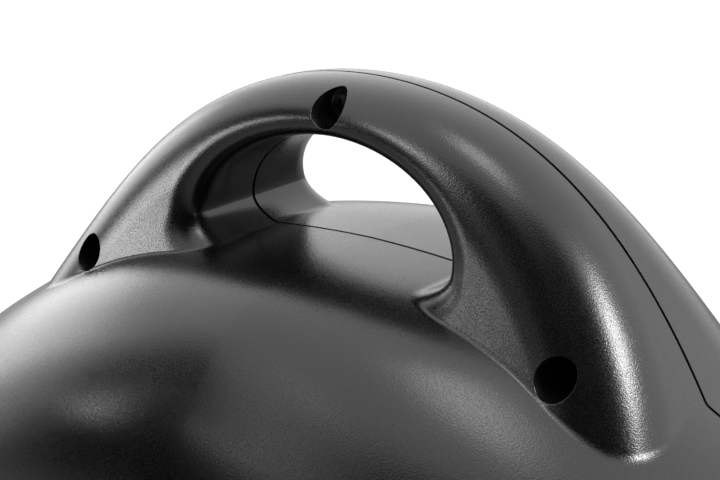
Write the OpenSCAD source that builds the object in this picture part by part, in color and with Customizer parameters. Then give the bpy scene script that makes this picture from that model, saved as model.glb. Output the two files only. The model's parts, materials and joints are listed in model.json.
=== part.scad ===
// Car dryer blower: two in-line motors in a pod of two half shells, with a carrying handle moulded
// into the shells, on a base pan with four swivel casters.
// The origin is on the floor under the middle of the pod. +X is the outlet end and +Z is up.

/* [Pod] */
// Length of the pod's curves, from tip to tip
pod_l = 466; // [430:1:520]
// Width of the pod
pod_w = 232; // [215:1:260]
// Height of the crown over the motor axis
crown_h = 145.7; // [135:0.1:165]
// Depth of the belly's curve under the motor axis
belly_h = 90; // [84:1:110]
// Depth of the pod's flat base under the motor axis
base_drop = 70; // [66:1:78]
// Softness of the base's edge
base_r = 12; // [4:1:20]
// Length that each end face cuts off the tip of the pod's curves
end_trim = 38; // [28:1:43]
// Rounding of the end faces' edges
end_r = 8; // [4:0.5:10]
// Fullness of the top line seen from the side, as a power
top_power = 1.56; // [1.5:0.01:2.4]
// Fullness of the plan, as a power
plan_power = 2.5; // [2.2:0.05:3.5]
// Fullness of the cross-section, as a power
section_power = 2.38; // [2:0.01:3.5]
// Wall of the half shells
wall = 3; // [2:0.1:3.5]
// Gap between the half shells at the seam
seam_gap = 0.3; // [0.1:0.05:0.6]

/* [Scoop under the handle] */
// Depth of the scoop's floor under the crown
scoop_depth = 10; // [7:0.1:14]
// Rise of the scoop's floor 50 mm out to each side
scoop_dish = 2.1; // [0:0.1:5]
// Softness of the scoop's edge
scoop_r = 20.5; // [5:0.5:30]

/* [Handle] */
// Height of the handle's top over the crown
handle_rise = 46.6; // [42:0.1:60]
// Radius of the handle's arch at its middle
arch_r = 155; // [135:1:180]
// Further fall of the arch 100 mm out from its middle
arch_curl = 12; // [6:0.5:15]
// Distance between the handle's side planes at its top
grip_w = 54.4; // [50:0.1:70]
// Spread of each side plane at the depth flare_h under the top
leg_flare = 9.4; // [2:0.1:12]
// Depth at which the side planes have spread by leg_flare
flare_h = 58; // [50:1:70]
// Further spread of each side 100 mm out from the middle
leg_spread = 0.9; // [0:0.1:12]
// Rounding of the handle's outer edges
outer_edge_r = 15.4; // [12:0.1:24]
// Rounding of the finger opening's edges
inner_edge_r = 6; // [4:0.1:14]
// Length of the finger opening at its widest
gap_l = 108.8; // [95:0.1:120]
// Depth of the opening's widest level under the crown
gap_sink = 4.8; // [2:0.1:9]
// Height of the opening over its widest level
gap_up = 32.9; // [27:0.1:34]
// Depth of the opening's curve under its widest level
gap_down = 15.5; // [8:0.1:16]
// Fullness of the opening, as a power
gap_power = 1.95; // [1.6:0.01:2.6]

/* [Shell screws] */
// Bore of the screw wells
well_d = 12.6; // [10:0.1:15]
// Distance of the two leg wells from the handle's middle
leg_well_x = 100; // [94:1:106]
// Depth of the leg wells under the crown
leg_well_sink = 25.4; // [20:0.1:30]
// Height of the top well over the crown
top_well_rise = 38.3; // [36:0.1:40]
// Distance of the wells' floors from the seam
well_floor = 12; // [8:0.5:16]
// Height of the end bosses over and under the motor axis
end_boss_z = 40; // [39:0.5:42]
// Depth of the middle boss under the motor axis
mid_boss_sink = 50; // [48:1:52]
// Wall of the bosses
boss_wall = 2.4; // [1.6:0.1:3]
// Shank of the shell screws
screw_d = 4; // [3:0.1:5]
// Head of the shell screws
screw_head_d = 8; // [6:0.1:9]
// Length of the shell screws under the head
screw_l = 28; // [22:1:36]

/* [Base] */
// Length of the base pan
pan_l = 330; // [310:1:360]
// Width of the base pan
pan_w = 196; // [186:1:220]
// Plate of the base pan
pan_t = 4; // [2.5:0.1:5]
// Depth of the base pan's rim under its plate
pan_rim = 8; // [4:0.5:8]
// Corner radius of the base pan
pan_corner_r = 34; // [20:1:45]
// Length of the air slots in the base pan
slot_l = 60; // [30:1:70]
// Width of an air slot
slot_w = 4; // [2:0.1:5]
// Number of air slots in each of the two rows
slot_count = 8; // [3:1:9]
// Shank of the base pan's screws
pan_screw_d = 4; // [3:0.1:5]

/* [Casters] */
// Height of the base pan's underside over the floor
caster_h = 64; // [63.5:0.5:80]
// Wheel diameter
wheel_d = 50; // [40:1:52]
// Wheel width
wheel_w = 20; // [14:1:24]
// Distance of each caster from the middle, along the pod
caster_x = 125; // [110:1:130]
// Distance of each caster from the middle, across the pod
caster_y = 68; // [60:1:70]
// How far a wheel's axle trails behind its king pin
trail = 18; // [12:1:22]
// Side of the square caster plate
plate_side = 42; // [38:1:46]
// Distance between the bolts of a caster plate
plate_bolt_span = 32; // [28:1:34]
// Thickness of the caster plates and forks
caster_t = 2.5; // [2:0.1:3]
// King pin diameter
king_pin_d = 8; // [6:0.1:10]
// Axle diameter
axle_d = 6; // [5:0.1:8]

/* [Motors] */
// Distance from the rear end face to the rear motor
rear_room = 45; // [43:1:47]
// Distance between the two motors
motor_space = 42; // [40:1:44]
// Outer diameter of the fan housing
fan_case_d = 108; // [100:1:112]
// Length of the fan housing
fan_case_l = 36; // [32:1:40]
// Sheet of the fan housing
fan_case_t = 1.2; // [0.8:0.1:2]
// Diameter of the fan
fan_d = 100; // [90:1:102]
// Width of the fan over both plates
fan_w = 22; // [16:1:26]
// Number of blades on the fan
blade_count = 7; // [5:1:9]
// Eye of the fan and inlet of its housing
eye_d = 44; // [36:1:50]
// Outer diameter of the stator
stator_d = 84; // [78:1:88]
// Length of the stator and armature stacks
stack_l = 34; // [28:1:36]
// Diameter of the armature
armature_d = 47; // [40:1:50]
// Gap between armature and stator, on the radius
air_gap = 0.5; // [0.4:0.05:1]
// Length of a motor over its fan housing and frame
motor_l = 118; // [114:1:119]
// Motor shaft diameter
shaft_d = 8; // [6:0.1:9]
// Outer diameter of the ball bearings
bearing_d = 22; // [19:0.1:24]
// Width of the ball bearings
bearing_w = 7; // [5:0.1:8]
// Diameter of the commutator
commutator_d = 22; // [18:0.1:26]

/* [Bulkheads] */
// Plate of the bulkheads
bulkhead_t = 3; // [2:0.1:4]
// Clearance round the bulkheads
bulkhead_gap = 0.8; // [0.6:0.1:1.5]
// Thickness of the rubber rings between bulkheads and motors
ring_t = 4; // [3:0.1:5]

/* [Outlet] */
// Bore of the outlet, where the hose cuff goes in
outlet_d = 50; // [40:1:54]
// Outer diameter of the outlet tube
outlet_tube_d = 60; // [57:1:64]
// Diameter of the outlet flanges
outlet_flange_d = 82; // [74:1:86]
// Thickness of the outlet flanges
outlet_flange_t = 4; // [2.5:0.1:5]
// Overall length of the blower, from gland to outlet
overall_l = 460; // [450:1:480]

/* [Rear panel] */
// Thickness of the panel on the rear end face
panel_t = 2.5; // [2:0.1:3.5]
// Distance of the panel's edge inside the end face's edge
panel_inset = 1; // [0.5:0.1:2]
// How far the panel covers the rim of its opening
panel_lip = 8; // [7:0.1:8.5]
// Clearance round the panel in its opening
panel_gap = 0.4; // [0.2:0.05:0.8]
// Diameter of the intake opening
intake_d = 60; // [50:1:62]
// Number of rings in the intake grille
grille_rings = 4; // [2:1:5]
// Number of spokes in the intake grille
grille_spokes = 8; // [4:1:12]
// Thickness of the foam filter
filter_t = 10; // [6:0.5:12]
// Distance of the controls from the middle of the panel
control_y = 45; // [44.5:0.1:46]
// Width of the rocker
rocker_w = 13; // [10:0.5:14]
// Height of the rocker
rocker_l = 20; // [16:0.5:20]
// Swing of the rocker from off to on
rocker_swing = 20; // [12:1:22]
// Height of the rocker over the motor axis
rocker_z = 8; // [7:0.1:9]
// Diameter of the speed knob
knob_d = 22; // [19:0.5:24]
// Length of the speed knob
knob_l = 14; // [10:0.5:16]
// Height of the speed knob over the motor axis
knob_z = 13; // [12:0.1:14]
// Diameter of the reset button
button_d = 8; // [6:0.1:9]
// Travel of the reset button
button_travel = 2; // [1:0.1:3]
// Depth of the reset button under the motor axis
button_sink = 18; // [17:0.1:19]
// Bore of the cord gland
gland_bore = 9; // [7:0.1:10]
// Width over the flats of the gland's nuts
gland_nut_w = 17; // [16:0.1:18]
// Depth of the cord gland under the motor axis
gland_sink = 16; // [15:0.1:17]

/* [Hidden] */

$fn = 48;
// Facets of the round features in the half shells
shell_fn = 24;
// Clearances: a turning fit on the radius, and a loose fit
run_fit = 0.05;
loose_fit = 0.3;
// Length that a cut runs past a face
past = 1;

shell_colour = "#1d1d1f";
trim_colour = "#2b2b2e";
steel_colour = "#b9bcc0";
rubber_colour = "#141414";

// ---------- levels and places ----------
end_x = pod_l / 2 - end_trim;
axis_z = caster_h + pan_t + base_drop;
crown_z = axis_z + crown_h;
base_z = axis_z - base_drop;
gap_mid_z = crown_z - gap_sink;
screw_r = screw_d / 2;
well_r = well_d / 2;
boss_r = well_r + boss_wall;
leg_reach = grip_w / 2 + 3 * leg_flare;
rear_motor_x = rear_room - end_x;
front_motor_x = rear_motor_x + motor_l + motor_space;
rear_bulkhead_x = rear_motor_x - ring_t - bulkhead_t;
front_bulkhead_x = front_motor_x - ring_t - bulkhead_t;
// The end bosses stand just behind the rear bulkhead and just behind the outlet's inner flange
boss_taper = 0.6;
boss_clear = 2;
collar_wall_gap = 1.5;
inner_flange_x = end_x - wall - collar_wall_gap - outlet_flange_t;
rear_boss_x = rear_bulkhead_x - boss_clear - boss_taper - boss_r;
front_boss_x = inner_flange_x - boss_clear - boss_taper - boss_r;
mid_boss_x = (rear_motor_x + motor_l + front_bulkhead_x) / 2;
// Places of the shell screws: distance along the pod, height, reach of boss and well from the seam
boss_places = [
    [-leg_well_x, crown_z - leg_well_sink, leg_reach],
    [0, crown_z + top_well_rise, leg_reach],
    [leg_well_x, crown_z - leg_well_sink, leg_reach],
    [rear_boss_x, axis_z - end_boss_z, pod_w / 2],
    [rear_boss_x, axis_z + end_boss_z, pod_w / 2],
    [front_boss_x, axis_z - end_boss_z, pod_w / 2],
    [front_boss_x, axis_z + end_boss_z, pod_w / 2],
    [mid_boss_x, axis_z - mid_boss_sink, pod_w / 2]
];

// ---------- blends ----------
function smin(a, b, r) = let (h = max(r - abs(a - b), 0)) min(a, b) - h * h / (4 * r);
function smax(a, b, r) = -smin(-a, -b, r);

// ---------- the pod's form, inset by g ----------
// Share of the full height or width left at x, on a curve of half length l and power p
function left_at(x, l, p) = pow(max(1 - pow(abs(x) / l, p), 0), 1 / p);
// Inset that rounds the edges of the end faces
function end_inset(x, g) =
    let (r = max(end_r - g, 0.5), d = abs(x) - (end_x - g - r))
    d <= 0 ? 0 : r - sqrt(max(r * r - d * d, 0));
function top_at(x, g) = (crown_h - g) * left_at(x, pod_l / 2 - g, top_power) - end_inset(x, g);
function side_at(x, g) = (pod_w / 2 - g) * left_at(x, pod_l / 2 - g, plan_power) - end_inset(x, g);
function belly_at(x, g) = (belly_h - g) * left_at(x, pod_l / 2 - g, plan_power) - end_inset(x, g);
function scoop_z(y, g) = crown_h - scoop_depth - g + scoop_dish * pow(y / 50, 2);
// Point of the section at x, at angle t from the top: [y, z over the motor axis]
function section_point(x, g, t) =
    let (
        e = 2 / section_power,
        y = side_at(x, g) * pow(abs(sin(t)), e) * sign(sin(t)),
        h = (cos(t) > 0 ? top_at(x, g) : -belly_at(x, g)) * pow(abs(cos(t)), e)
    )
    [y, smax(smin(h, scoop_z(y, g), scoop_r), g - base_drop, base_r)];
// Outline of the whole section at x, inset by g all round
function section_outline(x, g, steps) =
    [for (i = [0:steps - 1])
        let (t = 360 * i / steps, p = section_point(x, 0, t), n = p / norm(p))
        p - g * n + [0, axis_z]];
// Outline of the rear panel, inset by g
function panel_outline(g) = section_outline(-end_x, panel_inset + g, 72);

// ---------- the handle's form ----------
// Heights h are over the crown
function arch_h(x) = handle_rise - x * x / (2 * arch_r) - arch_curl * pow(x / 100, 4);
function arch_slope(x) = x / arch_r + 4 * arch_curl * pow(x, 3) / pow(100, 4);
function out_of_arch(x, h) = (h - arch_h(x)) / sqrt(1 + pow(arch_slope(x), 2));
function leg_half(x, h) =
    let (s = min((handle_rise - h) / flare_h, 1.9))
    grip_w / 2 + leg_flare * s * abs(s) + leg_spread * pow(x / 100, 2);
function gap_share(x, h) =
    pow(pow(abs(x) / (gap_l / 2), gap_power)
        + pow(abs(h) / (h > 0 ? gap_up : gap_down), gap_power), 1 / gap_power);
// Rough distance outside the finger opening's edge, along the line from its middle
function out_of_gap(x, h) =
    let (u = h + gap_sink, s = max(gap_share(x, u), 0.01)) norm([x, u]) * (1 - 1 / s);
// Below 0 inside the handle, 0 on its surface
function handle_depth(x, y, h) =
    smax(smax(out_of_arch(x, h), abs(y) - leg_half(x, h), 1.7 * outer_edge_r),
        -out_of_gap(x, h), 1.7 * inner_edge_r);
// Halves [lo, hi] until it holds the distance from c along d where the handle's depth is -g
function reach(c, d, g, lo, hi, n) =
    let (m = (lo + hi) / 2, p = c + m * d)
    n == 0 ? m
    : handle_depth(p[0], p[1], p[2]) < -g ? reach(c, d, g, m, hi, n - 1)
    : reach(c, d, g, lo, m, n - 1);
// Distance from the opening's middle to the arch, at angle a from the vertical
function arch_distance(a, lo, hi, n) =
    let (m = (lo + hi) / 2)
    n == 0 ? m
    : out_of_arch(m * sin(a), m * cos(a) - gap_sink) < 0 ? arch_distance(a, m, hi, n - 1)
    : arch_distance(a, lo, m, n - 1);
function gap_distance(a) = 1 / gap_share(sin(a), cos(a));
// Half ring of the handle's section at angle a from the vertical, from the outer face to the inner
function handle_ring(a, g, steps) =
    let (
        e = [sin(a), 0, cos(a)],
        middle = (gap_distance(a) + arch_distance(a, 0, 300, 20)) / 2,
        c = middle * e - [0, 0, gap_sink]
    )
    [for (i = [0:steps])
        let (
            t = 180 * i / steps,
            d = cos(t) * e + [0, sin(t), 0],
            far = cos(t) < 0 ? min(middle / -cos(t), pod_w) : pod_w
        )
        c + reach(c, d, g, 0, far, 16) * d + [0, 0, crown_z]];

// ---------- building blocks ----------
// Solid through rings of equally many points
module loft(rings) {
    n = len(rings);
    m = len(rings[0]);
    polyhedron(
        points = [for (r = rings) each r],
        faces = concat(
            [[for (j = [m - 1:-1:0]) j]],
            [[for (j = [0:m - 1]) (n - 1) * m + j]],
            [for (i = [0:n - 2], j = [0:m - 1])
                let (a = i * m + j, b = i * m + (j + 1) % m)
                each [[a, b, b + m], [a, b + m, a + m]]]
        )
    );
}

// Lays a shape out along the motor axis, its bottom at x
module along_axis(x) {
    translate([x, 0, axis_z]) rotate([0, 90, 0]) children();
}

// Turns a flat shape in the YZ plane into a plate from x on
module plate_at(x, t) {
    translate([x, 0, 0]) rotate([90, 0, 90]) linear_extrude(t) children();
}

// Lays a shape across the pod, away from the seam
module across(p, from) {
    translate([p[0], from, p[1]]) rotate([-90, 0, 0]) children();
}

module ring(outer_r, inner_r, h) {
    difference() {
        cylinder(r = outer_r, h = h);
        translate([0, 0, -past]) cylinder(r = inner_r, h = h + 2 * past);
    }
}

module rounded_plate(l, w, r) {
    square([l - 2 * r, w], center = true);
    square([l, w - 2 * r], center = true);
    for (x = [-1, 1], y = [-1, 1]) translate([x * (l / 2 - r), y * (w / 2 - r)]) circle(r);
}

// ---------- shells ----------
// Angle under the horizontal at which the handle's feet end inside the pod
foot_sink = 20;
// Sides of each half of the cavity's section
cavity_sides = 12;

// Half of the pod, inset by g, on a grid of steps along it and sides round it
module half_pod(g, steps, sides) {
    loft([for (i = [0:steps])
        let (x = (end_x - g) * sin(180 * i / steps - 90))
        [for (j = [0:sides])
            let (p = section_point(x, g, 180 * j / sides)) [x, p[0], axis_z + p[1]]]]);
}

module half_handle(g, sink, steps, sides) {
    loft([for (i = [0:steps])
        handle_ring((90 + sink) * (2 * i / steps - 1), g, sides)]);
}

module outer_form() {
    half_pod(0, 36, 18);
    half_handle(0, foot_sink, 32, 12);
}

module inner_form() {
    half_pod(wall, 24, cavity_sides);
    half_handle(wall, foot_sink + 6, 22, 8);
}

saddle_t = 2.5;
saddle_r = stator_d / 2 + 9 + loose_fit;
rail_r = fan_case_d / 2 + 6;
wire_z = crown_h / 2;
wire_hole_r = 4;
base_opening_l = 250;
base_opening_w = 90;

// Ribs across the cavity: they hold the bulkheads and the motors' far ends
module ribs() {
    for (m = [rear_motor_x, front_motor_x]) {
        rib(m - ring_t, rail_r);
        rib(m + motor_l - saddle_t, saddle_r);
    }
    rib(front_bulkhead_x - loose_fit - saddle_t, rail_r);
}

module rib(x, hole_r) {
    difference() {
        translate([x, 0, 0]) cube([saddle_t, pod_w, crown_z]);
        along_axis(x - past) cylinder(r = hole_r, h = saddle_t + 2 * past);
        translate([x - past, 0, axis_z + wire_z]) rotate([0, 90, 0])
            cylinder(r = wire_hole_r, h = saddle_t + 2 * past);
    }
}

module screw_bosses() {
    for (p = boss_places)
        hull() {
            across(p, 0) cylinder(r = boss_r, h = past);
            across(p, p[2] - past) cylinder(r = boss_r + boss_taper, h = past);
        }
}

pan_boss_h = 12;
pan_boss_r = 5;
// Distance of the pan screws from the pan's ends
pan_screw_in = 35;
pan_screw_x = pan_l / 2 - pan_screw_in;
pan_screw_y = 28;
mid_screw_x = front_bulkhead_x - 2 * pan_boss_r;
mid_screw_y = 62;
pan_screw_places = [for (s = [-1, 1])
    each [[-pan_screw_x, s * pan_screw_y], [pan_screw_x, s * pan_screw_y], [mid_screw_x, s * mid_screw_y]]];

module pan_bosses() {
    for (p = pan_screw_places) translate([p[0], p[1], base_z]) cylinder(r = pan_boss_r, h = pan_boss_h);
}

// The half shell on the side of positive Y, without its screw holes
module half_shell() {
    difference() {
        intersection() {
            outer_form();
            translate([-pod_l / 2, seam_gap / 2, 0]) cube([pod_l, pod_w, crown_z + 2 * handle_rise]);
        }
        difference() {
            inner_form();
            screw_bosses();
            ribs();
            pan_bosses();
        }
        translate([0, 0, base_z - past]) linear_extrude(wall + 2 * past)
            square([base_opening_l, base_opening_w], center = true);
        along_axis(end_x - wall - past) cylinder(r = outlet_tube_d / 2 + loose_fit, h = wall + 2 * past);
        plate_at(-end_x - past, wall + 2 * past) polygon(panel_outline(panel_lip));
        for (p = pan_screw_places)
            translate([p[0], p[1], base_z - past]) cylinder(r = pan_screw_d / 2 + 3 * run_fit, h = pan_boss_h);
        panel_screw_holes(-end_x - past, wall + 2 * past, panel_screw_d / 2 + 3 * run_fit);
    }
}

module right_shell() {
    color(shell_colour) mirror([0, 1, 0]) difference() {
        half_shell($fn = shell_fn);
        for (p = boss_places) {
            across(p, well_floor) cylinder(r = well_r, h = p[2] + past, $fn = 2 * shell_fn);
            across(p, 0) cylinder(r = screw_r + loose_fit, h = well_floor + past, $fn = shell_fn);
        }
    }
}

module left_shell() {
    color(shell_colour) difference() {
        half_shell($fn = shell_fn);
        for (p = boss_places)
            across(p, 0) cylinder(r = screw_r + 3 * run_fit, h = screw_l - well_floor + 2 * past, $fn = shell_fn);
    }
}

// ---------- casing hardware ----------
module shell_screws() {
    color(rubber_colour) for (p = boss_places)
        translate([p[0], -well_floor, p[1]]) rotate([-90, 0, 0]) pan_head_screw(screw_d, screw_head_d, screw_l);
}

// Screw with its head's underside at the origin and its shank towards positive Z
module pan_head_screw(d, head_d, l) {
    head_h = 0.4 * head_d;
    difference() {
        union() {
            cylinder(r = d / 2, h = l);
            translate([0, 0, -head_h]) cylinder(r1 = 0.42 * head_d, r2 = head_d / 2, h = head_h);
        }
        for (a = [0, 90]) translate([0, 0, -head_h]) rotate(a)
            cube([0.6 * head_d, 0.16 * head_d, head_h], center = true);
    }
}

module pan_outline(inset) {
    rounded_plate(pan_l - 2 * inset, pan_w - 2 * inset, pan_corner_r - inset);
}

slot_pitch = 9;
slot_row_x = 65;
rim_t = 3;

module base_pan() {
    color(trim_colour) difference() {
        union() {
            translate([0, 0, caster_h]) linear_extrude(pan_t) pan_outline(0);
            translate([0, 0, caster_h - pan_rim]) linear_extrude(pan_rim + past) difference() {
                pan_outline(0);
                pan_outline(rim_t);
            }
        }
        translate([0, 0, caster_h - past]) linear_extrude(pan_t + 2 * past)
            for (row = [-slot_row_x, slot_row_x], i = [0:slot_count - 1])
                translate([row + (i - (slot_count - 1) / 2) * slot_pitch, 0]) air_slot();
        for (p = pan_screw_places)
            translate([p[0], p[1], caster_h - past]) cylinder(r = pan_screw_d / 2 + loose_fit, h = pan_t + 2 * past);
        for (c = caster_places, q = plate_bolt_places)
            translate([c[0] + q[0], c[1] + q[1], caster_h - past]) cylinder(r = rivet_r, h = pan_t + 2 * past);
    }
}

module air_slot() {
    square([slot_w, slot_l - slot_w], center = true);
    for (y = [-1, 1]) translate([0, y * (slot_l - slot_w) / 2]) circle(slot_w / 2);
}

module pan_screws() {
    color(steel_colour) for (p = pan_screw_places)
        translate([p[0], p[1], caster_h]) pan_head_screw(pan_screw_d, 2 * pan_screw_d, pan_t + pan_boss_h - 4);
}

// ---------- outlet ----------
bead_w = 3;
outlet_tip_x = overall_l / 2;

module outlet_collar() {
    color(trim_colour) difference() {
        union() {
            along_axis(inner_flange_x) cylinder(r = outlet_tube_d / 2, h = outlet_tip_x - inner_flange_x);
            along_axis(inner_flange_x) cylinder(r = outlet_tube_d / 2 + 6, h = outlet_flange_t);
            along_axis(end_x) cylinder(r = outlet_flange_d / 2, h = outlet_flange_t);
            along_axis(outlet_tip_x - 2 * bead_w) cylinder(r = outlet_tube_d / 2 + 1.5, h = bead_w);
        }
        along_axis(inner_flange_x - past) cylinder(r = outlet_d / 2, h = outlet_tip_x - inner_flange_x + 2 * past);
    }
}

module outlet_seal() {
    color(rubber_colour) along_axis(end_x - wall - collar_wall_gap)
        ring(outlet_tube_d / 2 + 6, outlet_tube_d / 2 + run_fit, collar_wall_gap);
}

// ---------- rear panel ----------
panel_x = -end_x - panel_t;
panel_back_x = -end_x + wall;
panel_depth = panel_t + wall;
panel_screw_d = 3;
panel_screw_places = [for (a = [45:90:315])
    let (p = section_point(-end_x, 0, a)) p - (panel_inset + panel_lip / 2) * p / norm(p)];
cage_t = 1.5;
cage_bar_w = 4;
cutout_gap = 1.5;
pot_bush_r = 4.5;
breaker_bush_r = 6;
gland_r = 7.5;

module panel_screw_holes(x, l, r) {
    for (p = panel_screw_places) along_x(x, p[0], p[1]) cylinder(r = r, h = l);
}

// Lays a shape out along X, its bottom at x, at y and at z over the motor axis
module along_x(x, y, z) {
    translate([x, y, axis_z + z]) rotate([0, 90, 0]) children();
}

// Block from the origin towards positive X, centred in Y and Z
module plate_here(t, w, h) {
    translate([0, -w / 2, -h / 2]) cube([t, w, h]);
}

module rear_panel() {
    cut_x = panel_x - past;
    cut_l = panel_depth + 2 * past;
    color(trim_colour) {
        difference() {
            union() {
                plate_at(panel_x, panel_t) polygon(panel_outline(0));
                plate_at(-end_x, wall) polygon(panel_outline(panel_lip + panel_gap));
            }
            along_axis(cut_x) cylinder(r = intake_d / 2, h = cut_l);
            translate([cut_x, control_y, axis_z + rocker_z])
                plate_here(cut_l, rocker_w + 2 * cutout_gap, rocker_l + 2 * cutout_gap);
            along_x(cut_x, -control_y, knob_z) cylinder(r = pot_bush_r, h = cut_l);
            along_x(cut_x, control_y, -button_sink) cylinder(r = breaker_bush_r, h = cut_l);
            along_x(cut_x, -control_y, -gland_sink) cylinder(r = gland_r, h = cut_l);
            panel_screw_holes(cut_x, cut_l, panel_screw_d / 2 + loose_fit);
        }
        along_axis(panel_back_x) ring(intake_d / 2 + cage_t, intake_d / 2, filter_t + cage_t);
        for (a = [0, 90]) along_axis(panel_back_x + filter_t) rotate(a)
            translate([-intake_d / 2 - cage_t / 2, -cage_bar_w / 2, 0]) cube([intake_d + cage_t, cage_bar_w, cage_t]);
    }
}

module panel_screws() {
    color(steel_colour) for (p = panel_screw_places)
        along_x(panel_x, p[0], p[1]) pan_head_screw(panel_screw_d, 2 * panel_screw_d, panel_depth + 2);
}

grille_lip = 2.5;
grille_t = 1.5;
grille_wire = 1.8;
grille_hub_r = 5;

module intake_grille() {
    barrel_r = intake_d / 2 - run_fit;
    hole_r = barrel_r - grille_lip;
    color(trim_colour) along_axis(panel_x - grille_t) {
        ring(intake_d / 2 + grille_lip, hole_r, grille_t);
        ring(barrel_r, hole_r, grille_t + panel_depth);
        for (i = [1:grille_rings - 1]) let (r = grille_hub_r + (hole_r - grille_hub_r) * i / grille_rings)
            ring(r + grille_wire / 2, r - grille_wire / 2, 2 * grille_t);
        for (i = [0:grille_spokes - 1]) rotate(360 * i / grille_spokes)
            translate([0, -grille_wire / 2, 0]) cube([hole_r + past, grille_wire, 2 * grille_t]);
        cylinder(r = grille_hub_r, h = 2 * grille_t);
    }
}

module foam_filter() {
    color("#4a4a4a") along_axis(panel_back_x) cylinder(r = intake_d / 2 - loose_fit, h = filter_t);
}

// ---------- switch ----------
rocker_depth = 3.8;
rocker_pin_r = 1.2;
switch_lip = 2.5;
switch_lip_t = 1.2;
switch_l = 18;
switch_hollow = 11;
switch_tab_l = 7;

module switch_housing() {
    w = rocker_w + 2 * loose_fit;
    h = rocker_l + 3 * loose_fit;
    body_w = rocker_w + 2 * cutout_gap;
    color(rubber_colour) translate([panel_x, control_y, axis_z + rocker_z]) difference() {
        union() {
            translate([-switch_lip_t, 0, 0])
                plate_here(switch_lip_t, w + 2 * switch_lip, h + 2 * switch_lip);
            plate_here(switch_l, body_w, rocker_l + 2 * cutout_gap);
            for (z = [-1, 1]) translate([switch_l, 0, z * rocker_l / 4]) plate_here(switch_tab_l, 5, 0.8);
        }
        translate([-switch_lip_t - past, 0, 0]) plate_here(switch_lip_t + past + switch_hollow, w, h);
        translate([rocker_depth, 0, 0]) rotate([90, 0, 0])
            cylinder(r = rocker_pin_r + run_fit, h = body_w - 0.8, center = true);
    }
}

module power_rocker() {
    end_z = rocker_l / 2 - 0.2;
    color("#c8201c") translate([panel_x + rocker_depth, control_y, axis_z + rocker_z])
        rotate([0, -rocker_swing / 2, 0]) rotate([90, 0, 0]) {
            translate([0, 0, -rocker_w / 2]) linear_extrude(rocker_w)
                polygon([[3, 2 - end_z], [3, end_z - 2], [-3.5, end_z], [-7.5, end_z - 1], [-6, 0],
                    [-7.5, 1 - end_z], [-3.5, -end_z]]);
            cylinder(r = rocker_pin_r, h = rocker_w + 2 * cutout_gap - 1.2, center = true);
        }
}

// ---------- speed control ----------
pot_r = 8.5;
pot_l = 10;
knob_shaft_r = 3;
knob_wall = 3;
nut_h = 2.2;
pot_bore_l = 16;

module speed_control() {
    bush_x = panel_x - nut_h - 1;
    color(steel_colour) difference() {
        union() {
            along_x(panel_back_x, -control_y, knob_z) cylinder(r = pot_r, h = pot_l);
            along_x(bush_x, -control_y, knob_z) cylinder(r = pot_bush_r, h = panel_back_x - bush_x + past);
            along_x(panel_x - nut_h, -control_y, knob_z) cylinder(r = 6.5, h = nut_h, $fn = 6);
        }
        along_x(bush_x - past, -control_y, knob_z) cylinder(r = knob_shaft_r + run_fit, h = pot_bore_l);
    }
}

module speed_knob() {
    grip_r = knob_d / 2 - 1.5;
    flute_r = 1.6;
    flute_sink = 1;
    recess = nut_h + 1;
    skirt_t = 3;
    bevel = 1;
    color(rubber_colour) along_x(panel_x - 1 - knob_l, -control_y, knob_z) {
        difference() {
            union() {
                cylinder(r1 = grip_r - flute_sink - 2 * bevel, r2 = grip_r - flute_sink - 0.1, h = bevel);
                translate([0, 0, bevel]) difference() {
                    cylinder(r = grip_r, h = knob_l - bevel);
                    for (i = [0:11]) rotate(30 * i + 15) translate([grip_r + flute_r - flute_sink, 0, -past])
                        cylinder(r = flute_r, h = knob_l + 2 * past);
                }
                translate([0, 0, knob_l - skirt_t]) cylinder(r = knob_d / 2, h = skirt_t);
            }
            translate([0, 0, knob_l - recess]) cylinder(r = knob_d / 2 - knob_wall, h = recess + past);
            rotate(45) translate([2, -0.6, -past]) cube([knob_d / 2 - 2, 1.2, past + 0.8]);
        }
        translate([0, 0, 2]) cylinder(r = knob_shaft_r, h = knob_l - recess - 3 + pot_bore_l - past);
    }
}

// ---------- breaker and its reset button ----------
button_out = 4;
breaker_lip_t = 2;
breaker_l = 16;
button_bore_l = 14;

module breaker() {
    color("#303034") difference() {
        union() {
            along_x(panel_back_x, control_y, -button_sink) cylinder(r = 7.5, h = breaker_l);
            along_x(panel_x - breaker_lip_t, control_y, -button_sink) {
                cylinder(r = breaker_bush_r, h = breaker_lip_t + panel_depth + past);
                cylinder(r = 7.5, h = breaker_lip_t);
            }
        }
        along_x(panel_x - breaker_lip_t - past, control_y, -button_sink)
            cylinder(r = button_d / 2 + run_fit, h = button_bore_l);
    }
}

module reset_button() {
    bevel = 0.8;
    hidden_l = button_bore_l - past - button_travel - 1;
    color("#c8201c") along_x(panel_x - breaker_lip_t - button_out, control_y, -button_sink) {
        cylinder(r1 = button_d / 2 - bevel, r2 = button_d / 2, h = bevel);
        translate([0, 0, bevel]) cylinder(r = button_d / 2, h = button_out + hidden_l - bevel);
    }
}

// ---------- cord gland ----------
gland_tip_x = -overall_l / 2;
gland_hex_r = gland_nut_w / 2 / cos(30);
gland_room = panel_x - gland_tip_x;
gland_body_l = 0.28 * gland_room;
gland_groove = 0.05 * gland_room;
gland_cap_l = 0.42 * gland_room;
gland_lock_h = 4;

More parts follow.
